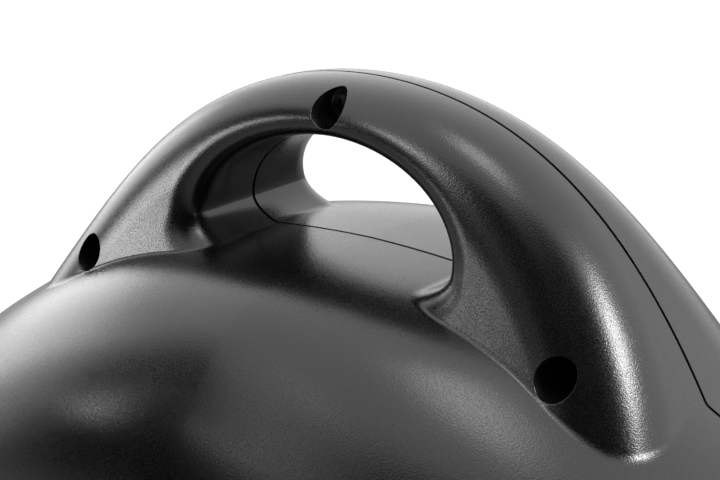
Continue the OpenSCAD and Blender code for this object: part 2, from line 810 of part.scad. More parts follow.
module cord_gland() {
    body_x = panel_x - gland_body_l;
    cap_x = body_x - gland_groove - gland_cap_l;
    color(rubber_colour) difference() {
        union() {
            at_gland(gland_tip_x) cylinder(r1 = gland_bore / 2 + 1.5, r2 = gland_nut_w / 2, h = cap_x - gland_tip_x);
            at_gland(cap_x) cylinder(r = gland_hex_r, h = gland_cap_l, $fn = 6);
            at_gland(cap_x) cylinder(r = gland_r, h = panel_back_x + gland_lock_h + 2 - cap_x);
            at_gland(body_x) cylinder(r = gland_hex_r, h = gland_body_l, $fn = 6);
            at_gland(panel_back_x) cylinder(r = gland_hex_r, h = gland_lock_h, $fn = 6);
        }
        at_gland(gland_tip_x - past) cylinder(r = gland_bore / 2, h = panel_back_x + gland_lock_h + 4 - gland_tip_x);
    }
}

module at_gland(x) {
    along_x(x, -control_y, -gland_sink) children();
}

// ---------- control board and wiring ----------
board_gap = 6.4;
board_t = 1.6;
board_x = rear_bulkhead_x - board_gap - board_t;
board_y = -58;
board_w = 42;
board_h = 56;
board_places = [for (y = [-1, 1], z = [-1, 1]) [board_y + y * (board_w / 2 - 4), z * (board_h / 2 - 4)]];
// Parts on the board: how far each stands out, its width and its height
relay = [8, 14, 18];
terminal = [6, 18, 12];
chip_leg = [7, 1, 14];
capacitor_r = 6;
capacitor_l = 9;

module control_board() {
    color("#1f6b3a") translate([board_x, board_y, axis_z]) plate_here(board_t, board_w, board_h);
}

module board_parts() {
    color("#2a2a2a") {
        for (p = board_places) along_x(board_x + board_t, p[0], p[1]) cylinder(r = 2.5, h = board_gap);
        along_x(board_x - capacitor_l, board_y + board_w / 5, board_h / 4)
            cylinder(r = capacitor_r, h = capacitor_l);
        block_on_board(relay, -board_w / 6, board_h / 9);
        block_on_board(terminal, board_w / 7, -board_h / 4);
        for (i = [0:3]) block_on_board(chip_leg, -board_w / 3 + 2.5 * i * chip_leg[1], -board_h / 4);
    }
}

module block_on_board(size, y, z) {
    translate([board_x - size[0], board_y + y, axis_z + z]) plate_here(size[0], size[1], size[2]);
}

wire_r = 1.5;
wire_bead = 0.25;

// Round lead through the points: distance along the pod, across it, and over the motor axis
module lead(points) {
    translate([0, 0, axis_z]) {
        for (i = [0:len(points) - 2]) {
            d = points[i + 1] - points[i];
            translate(points[i]) rotate([0, acos(d[2] / norm(d)), atan2(d[1], d[0])])
                cylinder(r = wire_r, h = norm(d));
        }
        for (i = [1:len(points) - 2]) translate(points[i]) sphere(wire_r + wire_bead);
    }
}

module wiring() {
    brush_x = brush_at + brush_w / 2;
    board_edge = board_y + board_w / 2;
    cross_x = board_x - 4;
    cross_z = board_h / 2 - 2.5;
    loop_x = rear_boss_x - boss_r - boss_taper - wire_r - 1;
    tab_z = rocker_z + rocker_l / 4;
    color("#7a1f1f") {
        lead([[board_x, board_y - 2, cross_z], [cross_x, board_y - 2, cross_z], [loop_x, board_y + 2, cross_z + 1],
            [loop_x, board_y + 14, end_boss_z + boss_r + 4], [rear_bulkhead_x - 4, 0, wire_z],
            [front_motor_x + brush_x, 0, wire_z], [front_motor_x + brush_x, 0, brush_out_r]]);
        lead([[rear_motor_x + brush_x, 0, wire_z], [rear_motor_x + brush_x, 0, brush_out_r]]);
        lead([[panel_x + switch_l + switch_tab_l, control_y, tab_z], [cross_x, control_y, tab_z],
            [cross_x, control_y, cross_z], [cross_x, board_edge - 2, cross_z - 4],
            [board_x, board_edge - 2, cross_z - 4]]);
        lead([[panel_back_x + breaker_l, control_y, -button_sink], [cross_x, control_y, -button_sink],
            [cross_x, control_y, -cross_z], [cross_x, board_edge - 2, 4 - cross_z],
            [board_x, board_edge - 2, 4 - cross_z]]);
    }
}

// ---------- bulkheads ----------
// Each bulkhead fits the cavity at the face that lies nearer the pod's end
inlet_gap = 4;

module bulkhead(x, fit_x) {
    difference() {
        plate_at(x, bulkhead_t) polygon([for (i = [0:2 * cavity_sides - 1])
            section_point(fit_x, wall + bulkhead_gap, 180 * i / cavity_sides) + [0, axis_z]]);
        along_axis(x - past) cylinder(r = eye_d / 2 + inlet_gap, h = bulkhead_t + 2 * past);
        along_x(x - past, 0, wire_z) cylinder(r = wire_hole_r, h = bulkhead_t + 2 * past);
    }
}

module motor_ring(x) {
    along_axis(x - ring_t) ring(fan_case_d / 2 - 8, eye_d / 2 + inlet_gap, ring_t);
}

module rear_bulkhead() { color(trim_colour) bulkhead(rear_bulkhead_x, rear_bulkhead_x); }
module front_bulkhead() { color(trim_colour) bulkhead(front_bulkhead_x, front_bulkhead_x + bulkhead_t); }
module rear_motor_ring() { color(rubber_colour) motor_ring(rear_motor_x); }
module front_motor_ring() { color(rubber_colour) motor_ring(front_motor_x); }

// ---------- motors ----------
// Every piece of a motor is drawn along Z from the outer face of its fan housing
case_r = fan_case_d / 2;
shaft_r = shaft_d / 2;
bearing_r = bearing_d / 2;
disc_t = 4;
bearing_boss_r = bearing_r + 3;
bearing_seat = 2;
front_bearing_at = fan_case_l + bearing_seat;
rear_bearing_at = motor_l - bearing_w - bearing_seat;
stator_r = stator_d / 2;
post_t = 8;
post_out_r = stator_r + 9;
brush_at = motor_l - 19;
// Length left for the windings' ends and spaces, and how it is shared out
motor_free = brush_at - front_bearing_at - bearing_w - stack_l;
coil_over = 0.35 * motor_free;
winding_over = 0.25 * motor_free;
stack_at = front_bearing_at + bearing_w + 0.65 * motor_free;
brush_w = 8;
brush_out_r = post_out_r + 1;
carbon_w = 6;
carbon_l = 20;
holder_t = 1.5;
coil_inner_r = armature_d / 2 + air_gap + 5;
coil_outer_r = stator_r - 4;
coil_angle = 110;
fan_at = 5;
fan_plate_t = 1.2;
hub_r = 9;
vent_at = 34;
vent_r = 9;

module fan_housing() {
    difference() {
        cylinder(r = case_r, h = fan_case_l);
        translate([0, 0, fan_case_t]) cylinder(r = case_r - fan_case_t, h = fan_case_l);
        translate([0, 0, -past]) cylinder(r = eye_d / 2, h = fan_case_t + 2 * past);
    }
}

module fan() {
    difference() {
        union() {
            translate([0, 0, fan_at]) ring(fan_d / 2, eye_d / 2, fan_plate_t);
            translate([0, 0, fan_at + fan_w - fan_plate_t]) cylinder(r = fan_d / 2, h = fan_plate_t);
            translate([0, 0, fan_at + fan_plate_t]) linear_extrude(fan_w - 2 * fan_plate_t)
                for (i = [0:blade_count - 1]) rotate(360 * i / blade_count) blade();
            translate([0, 0, fan_at]) cylinder(r = hub_r, h = fan_w);
        }
        translate([0, 0, -past]) cylinder(r = shaft_r, h = motor_l);
    }
}

// A blade sweeps back by blade_sweep from the eye to the rim
blade_sweep = 55;
blade_t = 1.4;
module blade() {
    steps = 8;
    inner = eye_d / 2 + 1;
    outer = fan_d / 2 - 1;
    arc = [for (i = [0:steps]) let (r = inner + (outer - inner) * i / steps, a = blade_sweep * i / steps)
        [r, a]];
    polygon(concat(
        [for (p = arc) p[0] * [cos(p[1]), sin(p[1])]],
        [for (i = [steps:-1:0]) let (p = arc[i], b = p[1] + blade_t / p[0] * 180 / PI) p[0] * [cos(b), sin(b)]]
    ));
}

module motor_frame() {
    boss_h = bearing_w + bearing_seat;
    difference() {
        union() {
            translate([0, 0, fan_case_l]) cylinder(r = case_r, h = disc_t);
            for (z = [fan_case_l, motor_l - boss_h]) translate([0, 0, z]) cylinder(r = bearing_boss_r, h = boss_h);
            for (a = [45:90:315]) rotate(a) translate([stator_r - past, -post_t / 2, fan_case_l])
                cube([post_out_r - stator_r + past, post_t, motor_l - fan_case_l]);
            for (a = [45, 135]) rotate(a) translate([-stator_r - 2, -post_t / 2, motor_l - disc_t])
                cube([2 * stator_r + 4, post_t, disc_t]);
            translate([0, 0, brush_at - 1]) ring(post_out_r - 1, stator_r + 3, brush_w + 2);
        }
        for (a = [22.5:45:360]) rotate(a) translate([vent_at, 0, fan_case_l - past])
            cylinder(r = vent_r, h = disc_t + 2 * past);
        translate([0, 0, stack_at - 1]) cylinder(r = stator_r + run_fit, h = stack_l + 2);
        translate([0, 0, front_bearing_at]) cylinder(r = bearing_r, h = bearing_w + past);
        translate([0, 0, rear_bearing_at - past]) cylinder(r = bearing_r, h = bearing_w + past);
        translate([0, 0, fan_case_l - past]) cylinder(r = shaft_r + 2, h = motor_l);
        for (a = [0, 180]) rotate(a) translate([stator_r, -brush_w, brush_at])
            cube([post_out_r - stator_r, 2 * brush_w, brush_w]);
    }
}

module stator() {
    translate([0, 0, stack_at]) difference() {
        cylinder(r = stator_r, h = stack_l);
        translate([0, 0, -past]) cylinder(r = armature_d / 2 + air_gap, h = stack_l + 2 * past);
        translate([0, 0, -past]) coil_pair(stack_l + 2 * past);
    }
}

module coil_pair(l) {
    for (a = [90, 270]) rotate(a - coil_angle / 2) rotate_extrude(angle = coil_angle)
        translate([coil_inner_r, 0]) square([coil_outer_r - coil_inner_r, l]);
}

module coils() {
    translate([0, 0, stack_at - coil_over]) coil_pair(stack_l + 2 * coil_over);
}

module armature() {
    difference() {
        union() {
            translate([0, 0, stack_at]) cylinder(r = armature_d / 2, h = stack_l);
            translate([0, 0, stack_at - winding_over]) cylinder(r = 0.4 * armature_d, h = stack_l + 2 * winding_over);
            translate([0, 0, stack_at - coil_over])
                cylinder(r = shaft_r + 2, h = brush_at + brush_w + 1 - stack_at + coil_over);
            translate([0, 0, brush_at]) cylinder(r = commutator_d / 2, h = brush_w);
        }
        translate([0, 0, -past]) cylinder(r = shaft_r, h = motor_l);
    }
}

shaft_at = 2;

module shaft() {
    translate([0, 0, shaft_at]) cylinder(r = shaft_r, h = motor_l - 2 - shaft_at);
    translate([0, 0, shaft_at + 0.5]) cylinder(r = shaft_r + 2.6, h = fan_at - shaft_at - 0.5, $fn = 6);
}

module bearings() {
    for (z = [front_bearing_at, rear_bearing_at])
        translate([0, 0, z]) ring(bearing_r, shaft_r + run_fit, bearing_w);
}

// Two holders with their carbons, which reach to just short of the commutator
module brushes() {
    tip = commutator_d / 2 + loose_fit;
    in_r = commutator_d / 2 + 2;
    for (a = [0, 180]) rotate(a) {
        translate([in_r, -brush_w, brush_at]) cube([brush_out_r - in_r, 2 * brush_w, brush_w]);
        translate([tip, -carbon_w / 2, brush_at + holder_t]) cube([carbon_l, carbon_w, brush_w - 2 * holder_t]);
    }
}

module rear_fan_housing() { color(steel_colour) along_axis(rear_motor_x) fan_housing(); }
module rear_fan() { color("#d8dadc") along_axis(rear_motor_x) fan(); }
module rear_motor_frame() { color("#a8abb0") along_axis(rear_motor_x) motor_frame(); }
module rear_stator() { color("#6f7276") along_axis(rear_motor_x) stator(); }
module rear_coils() { color("#b5651d") along_axis(rear_motor_x) coils(); }
module rear_armature() { color("#8a5a2b") along_axis(rear_motor_x) armature(); }
module rear_shaft() { color(steel_colour) along_axis(rear_motor_x) shaft(); }
module rear_bearings() { color(steel_colour) along_axis(rear_motor_x) bearings(); }
module rear_brushes() { color("#3a3a3a") along_axis(rear_motor_x) brushes(); }
module front_fan_housing() { color(steel_colour) along_axis(front_motor_x) fan_housing(); }
module front_fan() { color("#d8dadc") along_axis(front_motor_x) fan(); }
module front_motor_frame() { color("#a8abb0") along_axis(front_motor_x) motor_frame(); }
module front_stator() { color("#6f7276") along_axis(front_motor_x) stator(); }
module front_coils() { color("#b5651d") along_axis(front_motor_x) coils(); }
module front_armature() { color("#8a5a2b") along_axis(front_motor_x) armature(); }
module front_shaft() { color(steel_colour) along_axis(front_motor_x) shaft(); }
module front_bearings() { color(steel_colour) along_axis(front_motor_x) bearings(); }
module front_brushes() { color("#3a3a3a") along_axis(front_motor_x) brushes(); }

// ---------- casters ----------
wheel_r = wheel_d / 2;
caster_places = [for (x = [-1, 1], y = [-1, 1]) [x * caster_x, y * caster_y]];
plate_bolt_places = [for (x = [-1, 1], y = [-1, 1]) [x, y] * plate_bolt_span / 2];
rivet_r = 2.1;
rivet_head_h = 1.6;
race_r = 14;
race_t = 3;
race_h = 4;
race_top = caster_h - caster_t;
lip_t = 2;
fork_gap = 0.4;
fork_z = race_top - race_h - lip_t - fork_gap - caster_t;
cheek_y = wheel_w / 2 + 1;
cheek_end_r = 8;
tyre_r = 4;
hub_out_r = 8;
hub_sink = 3;
tyre_t = 9;

module caster_plate() {
    translate([0, 0, race_top]) linear_extrude(caster_t) difference() {
        rounded_plate(plate_side, plate_side, 5);
        for (q = plate_bolt_places) translate(q) circle(rivet_r);
    }
    translate([0, 0, race_top - race_h]) ring(race_r, race_r - race_t, race_h);
    translate([0, 0, race_top - race_h - lip_t]) ring(race_r, king_pin_d / 2 + run_fit, lip_t);
}

module caster_plates() {
    color(steel_colour) for (c = caster_places) translate([c[0], c[1], 0]) caster_plate();
}

module caster_rivets() {
    color(steel_colour) for (c = caster_places, q = plate_bolt_places)
        translate([c[0] + q[0], c[1] + q[1], 0]) {
            translate([0, 0, race_top]) cylinder(r = rivet_r, h = caster_t + pan_t);
            translate([0, 0, race_top - rivet_head_h]) cylinder(r1 = rivet_r + 0.5, r2 = rivet_r + 1.5, h = rivet_head_h);
        }
}

module fork() {
    pin_top = race_top - 0.5;
    half = cheek_y + caster_t;
    difference() {
        union() {
            translate([0, 0, fork_z]) cylinder(r = race_r, h = caster_t);
            translate([-race_r, -half, fork_z]) cube([2 * race_r - 4, 2 * half, caster_t]);
            for (y = [-cheek_y, half]) translate([0, y, 0]) rotate([90, 0, 0]) linear_extrude(caster_t) cheek();
            translate([0, 0, fork_z]) cylinder(r = king_pin_d / 2, h = pin_top - fork_z);
            translate([0, 0, race_top - race_h + 0.5]) cylinder(r = race_r - race_t - 1, h = race_h - 1);
        }
        translate([-trail, 0, wheel_r]) rotate([90, 0, 0])
            cylinder(r = axle_d / 2, h = 2 * half + 2 * past, center = true);
    }
}

module cheek() {
    hull() {
        translate([-trail, wheel_r]) circle(cheek_end_r);
        translate([-race_r, fork_z]) square([2 * race_r - 4, caster_t]);
    }
}

module axle() {
    half = cheek_y + caster_t;
    translate([-trail, 0, wheel_r]) rotate([90, 0, 0]) {
        cylinder(r = axle_d / 2, h = 2 * half, center = true);
        for (s = [-1, 1]) translate([0, 0, s * (half + 1)]) cylinder(r = axle_d / 2 + 2, h = 2, center = true, $fn = 6);
    }
}

module wheel() {
    translate([-trail, 0, wheel_r]) rotate([90, 0, 0]) translate([0, 0, -wheel_w / 2]) difference() {
        rotate_extrude() {
            square([wheel_r - tyre_r, wheel_w]);
            translate([0, tyre_r]) square([wheel_r, wheel_w - 2 * tyre_r]);
            for (z = [tyre_r, wheel_w - tyre_r]) translate([wheel_r - tyre_r, z]) circle(tyre_r);
        }
        for (z = [-past, wheel_w - hub_sink]) translate([0, 0, z])
            ring(wheel_r - tyre_t, hub_out_r, hub_sink + past);
        translate([0, 0, -past]) cylinder(r = axle_d / 2 + run_fit, h = wheel_w + 2 * past);
    }
}

module at_caster(x, y) {
    translate([x * caster_x, y * caster_y, 0]) children();
}

module front_right_fork() { color(steel_colour) at_caster(1, -1) fork(); }
module front_right_axle() { color(steel_colour) at_caster(1, -1) axle(); }
module front_right_wheel() { color(rubber_colour) at_caster(1, -1) wheel(); }
module front_left_fork() { color(steel_colour) at_caster(1, 1) fork(); }
module front_left_axle() { color(steel_colour) at_caster(1, 1) axle(); }
module front_left_wheel() { color(rubber_colour) at_caster(1, 1) wheel(); }
module rear_right_fork() { color(steel_colour) at_caster(-1, -1) fork(); }
module rear_right_axle() { color(steel_colour) at_caster(-1, -1) axle(); }
module rear_right_wheel() { color(rubber_colour) at_caster(-1, -1) wheel(); }
module rear_left_fork() { color(steel_colour) at_caster(-1, 1) fork(); }
module rear_left_axle() { color(steel_colour) at_caster(-1, 1) axle(); }
module rear_left_wheel() { color(rubber_colour) at_caster(-1, 1) wheel(); }

right_shell();
left_shell();
shell_screws();
base_pan();
pan_screws();
outlet_collar();
outlet_seal();
rear_panel();
panel_screws();
intake_grille();
foam_filter();
switch_housing();
power_rocker();
speed_control();
speed_knob();
breaker();
reset_button();
cord_gland();
control_board();
board_parts();
wiring();
rear_bulkhead();
front_bulkhead();
rear_motor_ring();
front_motor_ring();
rear_fan_housing();
rear_fan();
rear_motor_frame();
rear_stator();
rear_coils();
rear_armature();
rear_shaft();
rear_bearings();
rear_brushes();
front_fan_housing();
front_fan();
front_motor_frame();
front_stator();
front_coils();
front_armature();
front_shaft();
front_bearings();
front_brushes();
caster_plates();
caster_rivets();
front_right_fork();
front_right_axle();
front_right_wheel();
front_left_fork();
front_left_axle();
front_left_wheel();
rear_right_fork();
rear_right_axle();
rear_right_wheel();
rear_left_fork();
rear_left_axle();
rear_left_wheel();
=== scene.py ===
import json
import math

import bmesh
import bpy
import numpy as np
import openvdb
from mathutils import Matrix, Vector


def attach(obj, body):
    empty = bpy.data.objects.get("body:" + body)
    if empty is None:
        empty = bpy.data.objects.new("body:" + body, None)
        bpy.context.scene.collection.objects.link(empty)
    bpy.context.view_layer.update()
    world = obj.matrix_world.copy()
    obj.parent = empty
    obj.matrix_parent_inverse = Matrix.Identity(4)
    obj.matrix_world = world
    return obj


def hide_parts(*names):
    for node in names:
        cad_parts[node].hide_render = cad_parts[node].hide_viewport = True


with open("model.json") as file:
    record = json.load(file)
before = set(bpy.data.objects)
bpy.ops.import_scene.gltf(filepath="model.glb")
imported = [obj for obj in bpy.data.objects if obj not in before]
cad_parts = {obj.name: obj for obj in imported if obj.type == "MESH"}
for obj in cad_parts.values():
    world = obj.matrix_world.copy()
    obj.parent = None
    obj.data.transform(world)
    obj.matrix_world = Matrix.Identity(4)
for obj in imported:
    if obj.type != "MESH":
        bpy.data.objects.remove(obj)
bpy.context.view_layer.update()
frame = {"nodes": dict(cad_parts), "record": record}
MM = 0.001

# ---------------------------------------------------------------- sizes of the casing, in mm
# Pod. Each half size of its cross-section has the half length and the power of its curve to the ends.
AXIS_Z = 138.0  # height of the motors' axis over the floor
POD_POWER = 2.38  # fullness of the cross-section
POD_WIDTH = (115.95, 235.0, 2.504)
POD_CROWN = (145.716, 233.05, 1.5567)
POD_BELLY = (90.0, 233.0, 2.5)
CURVE_END = 0.9999  # share of the half length where the curves stop falling, short of 0
BASE_Z = 68.0  # height of the flat base
BASE_BLEND = 12.0  # softness of the base's edge
END_X = 195.0  # distance of the end faces from the middle
END_R = 8.0  # rounding of their edges

# Scoop along the pod's top. Its heights and the handle's count from LEVEL_Z.
LEVEL_Z = 272.85
SCOOP_Z = 0.781  # height of its floor at the seam
SCOOP_FALL = 0.0212196  # slope of its floor down from the seam
SCOOP_DISH = 0.00127855  # rise of its floor, times the square of the distance from the seam
SCOOP_BLEND = 20.5  # softness of its edge

# Handle, with its finger opening
ARCH_TOP = 57.45
ARCH_R = 155.0  # radius at the arch's middle
ARCH_CURL = 1.2e-7  # further fall, times the fourth power of the distance from the middle
GRIP_HALF = 27.2  # half the distance between the side planes at the top
LEG_FLARE = 9.4  # spread of each side at the depth FLARE_H
FLARE_H = 58.0
FLARE_RANGE = (-0.5, 1.9)  # in FLARE_H, where the sides stop spreading
LEG_SPREAD = 0.9  # further spread of each side at SPREAD_X from the middle
SPREAD_X = 100.0
LEG_END_Z = 200.0  # height over the floor where the legs end, inside the pod
GAP_Z = 6.05  # height of the finger opening's widest level
GAP_HALF = 54.4  # half its length there
GAP_UP = 32.9  # height of the opening over that level
GAP_DOWN = 15.5  # depth of its curve under that level
GAP_POWER = 1.95  # fullness of the opening
OUTER_R = 15.4  # rounding of the handle's outer edges
INNER_R = 6.0  # rounding of the opening's edges
BLEND_PER_R = 1.7  # blend that rounds such an edge to a radius of 1
FOOT_BLEND = 0.9  # crease between the handle and the pod

# Seam between the halves
WALL = 3.0
SEAM_HALF = 0.62  # half the width of its groove
SEAM_R = 0.14  # rounding of the groove's edges
SEAM_DEPTH = 1.6  # depth of the groove
SEAM_SHUT = 0.02  # half the gap that is left under the groove
SEAM_Y = -(SEAM_HALF + SEAM_R)  # where the skin turns into the groove
INSIDE_Y = (-0.4, -9.0)  # y where the wall's inside starts at the seam, and where it ends

# Screw wells of the near half, as (x, z): the handle's, the ends' and the bottom's
LEG_WELL_X, LEG_WELL_Z, TOP_WELL_Z = 100.0, 258.3, 322.0
END_WELL_X, END_WELL_H = (-168.7, 174.8), 40.0
LOW_WELL_X, LOW_WELL_H = -14.5, 50.0
WELLS = [(-LEG_WELL_X, LEG_WELL_Z), (0.0, TOP_WELL_Z), (LEG_WELL_X, LEG_WELL_Z)]
WELLS += [(x, AXIS_Z + h) for x in END_WELL_X for h in (-END_WELL_H, END_WELL_H)]
WELLS += [(LOW_WELL_X, AXIS_Z - LOW_WELL_H)]
WELL_R = 6.3
WELL_LIP = 0.35  # rounding of the wells' rims
WELL_FLOOR = 12.0  # distance of the floors from the seam
WELL_HOLE_R = 2.3  # hole for the screw's shank in the floor
WELL_HOLE_L = 4.0

# Openings that the rear panel, the outlet collar and the base pan fill
FACE_IN = 0.4  # how far inside an end face its opening reaches
PANEL_HALF_W, PANEL_HALF_H = 60.5, 42.4
COLLAR_R = 31.6
PAN_HALF_L, PAN_HALF_W = 125.0, 45.0
PAN_UP = 0.3  # how far over the base its opening reaches

# Grid that the skin is made on. Its cells are fine on the handle, and at 1.28 the export leaves
# each half as it is, because it stays under 200,000 triangles.
FINE = 1.28
FINE_X, FINE_Y, FINE_Z = 164.0, 67.0, 226.0
COARSE_X, COARSE_Y, COARSE_Z = 2.2, 2.4, 2.6
REACH_X, REACH_Y, LOW_Z, HIGH_Z = 199.0, 120.0, 63.0, 333.0
GRID_CLIP = 20.0  # largest depth that the grid holds
CREASE_W = 3.0  # faces this near to the crease are split
CREASE_X = 162.0
CREASE_Z = 225.0
SEAM_SNAP = 0.12  # points this near to SEAM_Y are moved onto it
WELL_SNAP = 0.28  # points this near to a well's rim are moved onto it
ON_SKIN = 0.02  # points this near to the form count as on it


# ---------------------------------------------------------------- form of the casing
# Depths are in mm from the surface and below 0 inside. These are the formulas of the CAD shells.
def smax(a, b, r):
    """Larger of two depths, with the edge between them rounded where they differ by less than r."""
    h = np.maximum(r - np.abs(a - b), 0)
    return np.maximum(a, b) + h * h * 0.25 / r


def shrunk(x, size, length, power):
    """Half size of the pod at x."""
    u = np.clip(np.abs(x) / length, 0, CURVE_END)
    return size * (1 - u ** power) ** (1 / power)


def half_sizes(x, up):
    """The pod's half width, and its height over the axis or its depth under it."""
    return shrunk(x, *POD_WIDTH), np.where(up, shrunk(x, *POD_CROWN), shrunk(x, *POD_BELLY))


def pod_depth(x, y, z):
    """Depth in the pod without its ends, base and scoop."""
    h = z - AXIS_Z
    step = 0.5
    wide, tall = half_sizes(x, h > 0)
    wide_1, tall_1 = half_sizes(x + step, h > 0)
    wide_0, tall_0 = half_sizes(x - step, h > 0)
    across = (np.abs(y) / wide) ** POD_POWER
    upright = (np.abs(h) / tall) ** POD_POWER
    q = across + upright + 1e-9
    f = q ** (1 / POD_POWER)
    s = f / q
    wide_slope = (wide_1 - wide_0) / (2 * step * wide)
    tall_slope = (tall_1 - tall_0) / (2 * step * tall)
    gx = s * (across * wide_slope + upright * tall_slope)
    gy = s * across / np.maximum(np.abs(y), 1e-3)
    gz = s * upright / np.maximum(np.abs(h), 1e-3)
    return (f - 1) / np.sqrt(gx * gx + gy * gy + gz * gz + 1e-8)


def body_depth(x, y, z):
    """Depth in the pod with its scoop, base and end faces."""
    scoop = z - LEVEL_Z - SCOOP_Z - SCOOP_DISH * y * y + SCOOP_FALL * np.abs(y)
    d = smax(pod_depth(x, y, z), scoop, SCOOP_BLEND)
    d = smax(d, BASE_Z - z, BASE_BLEND)
    end = np.abs(x) - END_X
    a = np.maximum(d + END_R, 0)
    b = np.maximum(end + END_R, 0)
    return np.where(a * b > 0, np.sqrt(a * a + b * b) - END_R, np.maximum(d, end))


def gap_depth(x, z):
    """Depth in the finger opening, with z over LEVEL_Z."""
    u = z - GAP_Z
    tall = np.where(u > 0, GAP_UP, GAP_DOWN)
    kx, kz = np.abs(x / GAP_HALF), np.abs(u / tall)
    q = kx ** GAP_POWER + kz ** GAP_POWER + 1e-12
    f = q ** (1 / GAP_POWER)
    gx = np.maximum(kx, 1e-4) ** (GAP_POWER - 1) / GAP_HALF
    gz = np.maximum(kz, 1e-4) ** (GAP_POWER - 1) / tall
    return (f - 1) / (f / q * np.sqrt(gx * gx + gz * gz) + 1e-4)


def handle_depth(x, y, z):
    """Depth in the handle: an arch between two flaring sides, with the opening through it."""
    z = z - LEVEL_Z
    arch = ARCH_TOP - x * x / (2 * ARCH_R) - ARCH_CURL * x ** 4
    slope = -x / ARCH_R - 4 * ARCH_CURL * x ** 3
    out = (z - arch) / np.sqrt(1 + slope * slope)
    s = np.clip((ARCH_TOP - z) / FLARE_H, *FLARE_RANGE)
    half = GRIP_HALF + LEG_FLARE * s * np.abs(s) + LEG_SPREAD * (x / SPREAD_X) ** 2
    flare = 2 * LEG_FLARE * np.abs(s) / FLARE_H
    side = (np.abs(y) - half) / np.sqrt(1 + flare * flare)
    d = smax(out, side, BLEND_PER_R * OUTER_R)
    d = smax(d, -gap_depth(x, z), BLEND_PER_R * INNER_R)
    return np.maximum(d, LEG_END_Z - LEVEL_Z - z)


def casing_depth(x, y, z):
    """Depth in the pod and the handle together."""
    return -smax(-body_depth(x, y, z), -handle_depth(x, y, z), FOOT_BLEND)


def gradient(p, e=0.05):
    """Slopes of casing_depth at the points p, which are the skin's normals on the surface."""
    g = np.empty_like(p)
    for i in range(3):
        a, b = p.copy(), p.copy()
        a[:, i] += e
        b[:, i] -= e
        g[:, i] = (casing_depth(*a.T) - casing_depth(*b.T)) / (2 * e)
    return g


def onto_casing(p, steps, fixed=()):
    """Moves points onto the casing's surface, keeping the coordinates named in fixed."""
    for _ in range(steps):
        g = gradient(p)
        for i in fixed:
            g[:, i] = 0
        d = casing_depth(*p.T)
        m = np.clip(d / np.maximum((g * g).sum(1), 0.05), -2, 2)
        p = p - g * m[:, None]
    return p


# ---------------------------------------------------------------- skin of the casing
def steps_between(*parts):
    """Grid lines through runs of (start, end, step)."""
    out = []
    for a, b, s in parts:
        n = max(int(round((b - a) / s)), 1)
        out += list(np.linspace(a, b, n, endpoint=False))
    return np.array(out + [parts[-1][1]])


def rough_skin():
    """Points and quads near the casing's surface, on the side of negative Y."""
    gx = steps_between((-REACH_X, -FINE_X, COARSE_X), (-FINE_X, FINE_X, FINE), (FINE_X, REACH_X, COARSE_X))
    past_seam = SEAM_Y + 3 * FINE
    gy = steps_between((-REACH_Y, -FINE_Y, COARSE_Y), (-FINE_Y, SEAM_Y, FINE), (SEAM_Y, past_seam, FINE))
    gz = steps_between((LOW_Z, FINE_Z, COARSE_Z), (FINE_Z, HIGH_Z, FINE))
    values = casing_depth(gx[:, None, None], gy[None, :, None], gz[None, None, :]).astype(np.float32)
    grid = openvdb.FloatGrid(2.5 * GRID_CLIP)
    grid.copyFromArray(np.clip(values, -GRID_CLIP, GRID_CLIP))
    cells, quads = grid.convertToQuads()[:2]
    cells = cells.astype(float)
    p = np.stack([np.interp(cells[:, i], np.arange(len(g)), g) for i, g in enumerate((gx, gy, gz))], 1)
    return p, quads.astype(int)


def evened(p, quads):
    """The points, moved halfway to the middle of their neighbours and back onto the surface."""
    total, count = np.zeros_like(p), np.zeros(len(p))
    for a, b in ((0, 1), (1, 2), (2, 3), (3, 0)):
        np.add.at(total, quads[:, a], p[quads[:, b]])
        np.add.at(total, quads[:, b], p[quads[:, a]])
        np.add.at(count, quads[:, a], 1)
        np.add.at(count, quads[:, b], 1)
    return onto_casing(p + 0.5 * (total / np.maximum(count, 1)[:, None] - p), 2)


def in_opening(x, y, z):
    """Whether points of the skin are in an opening that another part fills, or past the seam."""
    h = z - AXIS_Z
    panel = (np.abs(y) / PANEL_HALF_W) ** POD_POWER + (np.abs(h) / PANEL_HALF_H) ** POD_POWER < 1
    pan = (np.abs(x) < PAN_HALF_L) & (np.abs(y) < PAN_HALF_W)
    gone = (x < FACE_IN - END_X) & panel
    gone |= (x > END_X - FACE_IN) & (y * y + h ** 2 < COLLAR_R ** 2)
    gone |= (z < BASE_Z + PAN_UP) & pan
    return gone | (y > SEAM_Y + 1.5 * FINE)


def casing_skin():
    """Points and quads of the casing's outside, on the side of negative Y, facing out."""
    p, quads = rough_skin()
    p = onto_casing(p, 5)
    for _ in range(2):
        p = evened(p, quads)
    middles = p[quads].mean(1)
    normals = np.cross(p[quads[:, 2]] - p[quads[:, 0]], p[quads[:, 3]] - p[quads[:, 1]])
    if (normals * gradient(middles)).sum() < 0:
        quads = quads[:, ::-1]
    return p, quads[~in_opening(*middles.T)]


def places_of(verts):
    return np.array([v.co[:] for v in verts])


def move_to(verts, places):
    for v, place in zip(verts, places):
        v.co = place


def refine_creases(bm):
    """Splits the faces along the handle's foot, where the skin turns sharply."""
    p = np.array([f.calc_center_median()[:] for f in bm.faces])
    near = np.abs(body_depth(*p.T) - handle_depth(*p.T)) < CREASE_W
    near &= (np.abs(p[:, 0]) < CREASE_X) & (p[:, 2] > CREASE_Z)
    edges = dict.fromkeys(e for f, n in zip(bm.faces, near) if n for e in f.edges)
    old = set(bm.verts)
    bmesh.ops.subdivide_edges(bm, edges=list(edges), cuts=1, use_grid_fill=True)
    new = [v for v in bm.verts if v not in old]
    move_to(new, onto_casing(places_of(new), 3))


